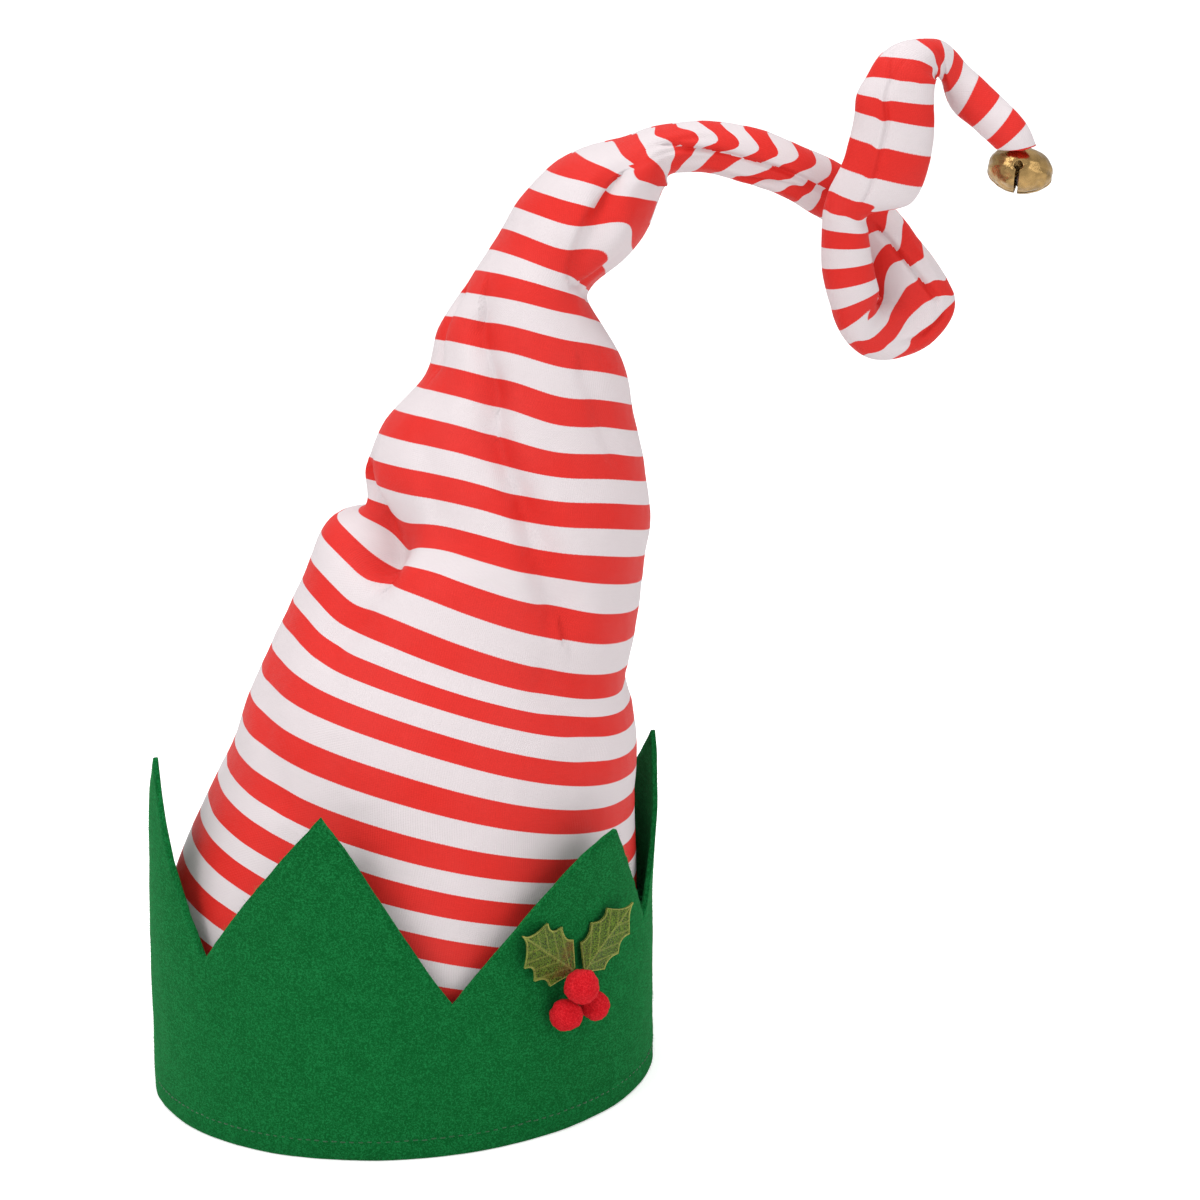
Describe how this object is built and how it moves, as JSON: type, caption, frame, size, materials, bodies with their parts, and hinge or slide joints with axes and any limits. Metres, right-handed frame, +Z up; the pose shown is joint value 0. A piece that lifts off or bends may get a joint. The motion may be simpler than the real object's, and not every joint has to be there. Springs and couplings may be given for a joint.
{
  "type": "elf hat",
  "caption": "Elf hat: felt band with a zigzag top edge, tall striped cloth crown that bends over into a looped tail, a holly sprig on the band and a jingle bell at the tip.",
  "frame": {"origin": "centre of the head opening, at the level of the band's lower edge, where the hat rests on the floor", "axes": "+Z up along the hat, -Y towards the front of the hat, +X towards the side the tail hangs to"},
  "size_m": [0.3534, 0.1932, 0.3806],
  "materials": {
    "green_felt": "felt",
    "striped_cloth": "woven, red and white stripes",
    "leaf_cloth": "metallic cloth",
    "red_felt": "felt",
    "bell_brass": "polished",
    "pellet_steel": "plain"
  },
  "bodies": {
    "root": {"felt_band": "green_felt", "striped_crown": "striped_cloth", "leaf_left": "leaf_cloth", "leaf_right": "leaf_cloth", "berry_top": "red_felt", "berry_left": "red_felt", "berry_right": "red_felt", "bell": "bell_brass", "bell_pellet": "pellet_steel"}
  },
  "joints": []
}
